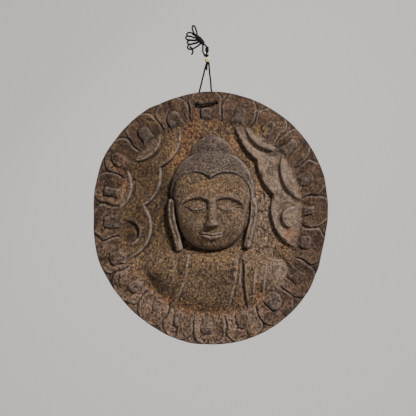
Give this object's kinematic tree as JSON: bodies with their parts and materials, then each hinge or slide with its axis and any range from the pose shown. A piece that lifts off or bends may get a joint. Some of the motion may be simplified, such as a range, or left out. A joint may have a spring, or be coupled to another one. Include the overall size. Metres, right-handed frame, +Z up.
{
  "type": "carved wooden buddha plaque",
  "caption": "Round wooden wall plaque carved in high relief with a buddha bust, cloud scrolls and a ring of lotus petals, on a black cord with a bead.",
  "frame": {"origin": "middle of the flat back, where the plaque lies on the wall", "axes": "+Z up as it hangs, +Y into the wall, the carved front faces -Y, +X to the viewer's right"},
  "size_m": [0.2833, 0.0473, 0.3856],
  "materials": {
    "carved_wood": "aged matte wood with brown and rust stain, worn pale on the high edges",
    "black_cord": "black waxed cotton cord",
    "cream_bead": "glossy cream"
  },
  "bodies": {
    "root": {"plaque": "carved_wood", "hanging_cord": "black_cord", "cut_end": "black_cord", "eye_strand": "black_cord", "tassel_loop_1": "black_cord", "tassel_loop_2": "black_cord", "tassel_loop_3": "black_cord", "tassel_loop_4": "black_cord", "tassel_loop_5": "black_cord", "loose_end": "black_cord", "top_knot": "black_cord", "neck_knot": "black_cord", "tassel_knot": "black_cord", "end_knot": "black_cord", "bead": "cream_bead"}
  },
  "joints": []
}
